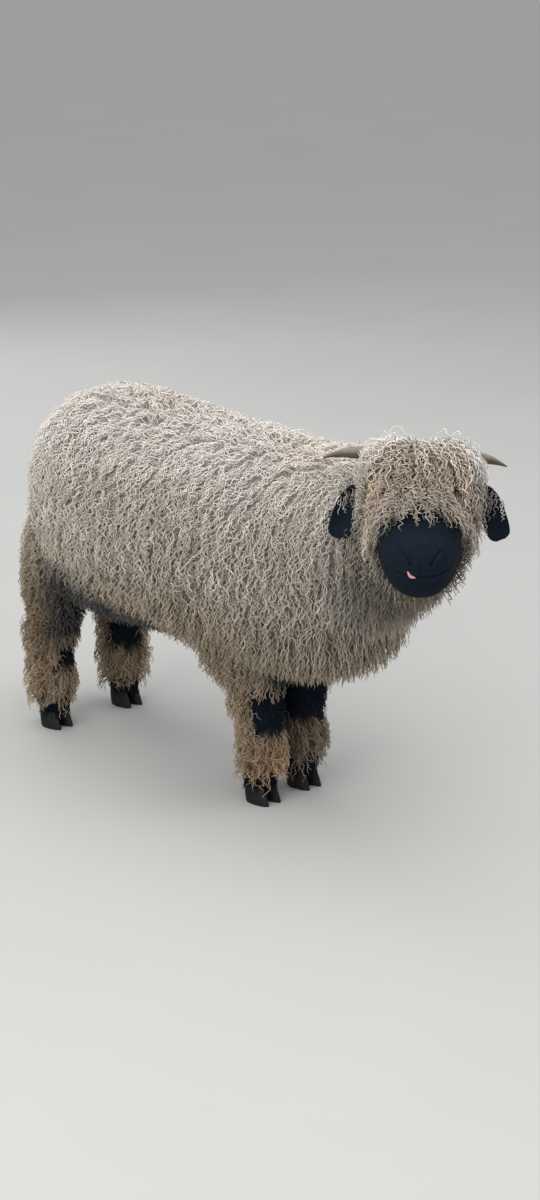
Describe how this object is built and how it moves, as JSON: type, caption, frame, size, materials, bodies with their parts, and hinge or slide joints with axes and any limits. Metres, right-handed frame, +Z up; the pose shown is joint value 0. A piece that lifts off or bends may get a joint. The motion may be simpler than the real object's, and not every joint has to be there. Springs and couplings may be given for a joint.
{
  "type": "valais blacknose sheep",
  "caption": "Still life-size Valais Blacknose ewe in full fleece, standing with her head turned to her right; black face, drooping ears, short spread horns.",
  "frame": {"origin": "on the floor, under the middle of the animal's box", "axes": "+Z up, she faces -Y, her left side is +X"},
  "size_m": [0.4956, 1.412, 0.8851],
  "materials": {
    "fleece": "curly cream wool, soiled towards the tips",
    "leg_wool": "curly tan wool with black knees, hocks and feet",
    "black_hair": "short matt black hair, cream forelock on the head",
    "horn": "ridged horn, satin",
    "hoof": "dark horn, worn",
    "eye": "wet dark amber",
    "tongue": "moist pink"
  },
  "bodies": {
    "root": {"torso": "fleece", "neck": "fleece", "head": "black_hair", "tail": "fleece", "leg_fore_right": "leg_wool", "leg_fore_left": "leg_wool", "leg_hind_right": "leg_wool", "leg_hind_left": "leg_wool", "ear_right": "black_hair", "ear_left": "black_hair", "horn_right": "horn", "horn_left": "horn", "eye_right": "eye", "eye_left": "eye", "tongue": "tongue", "claw_fore_right_inner": "hoof", "claw_fore_right_outer": "hoof", "claw_fore_left_inner": "hoof", "claw_fore_left_outer": "hoof", "claw_hind_right_inner": "hoof", "claw_hind_right_outer": "hoof", "claw_hind_left_inner": "hoof", "claw_hind_left_outer": "hoof"}
  },
  "joints": []
}
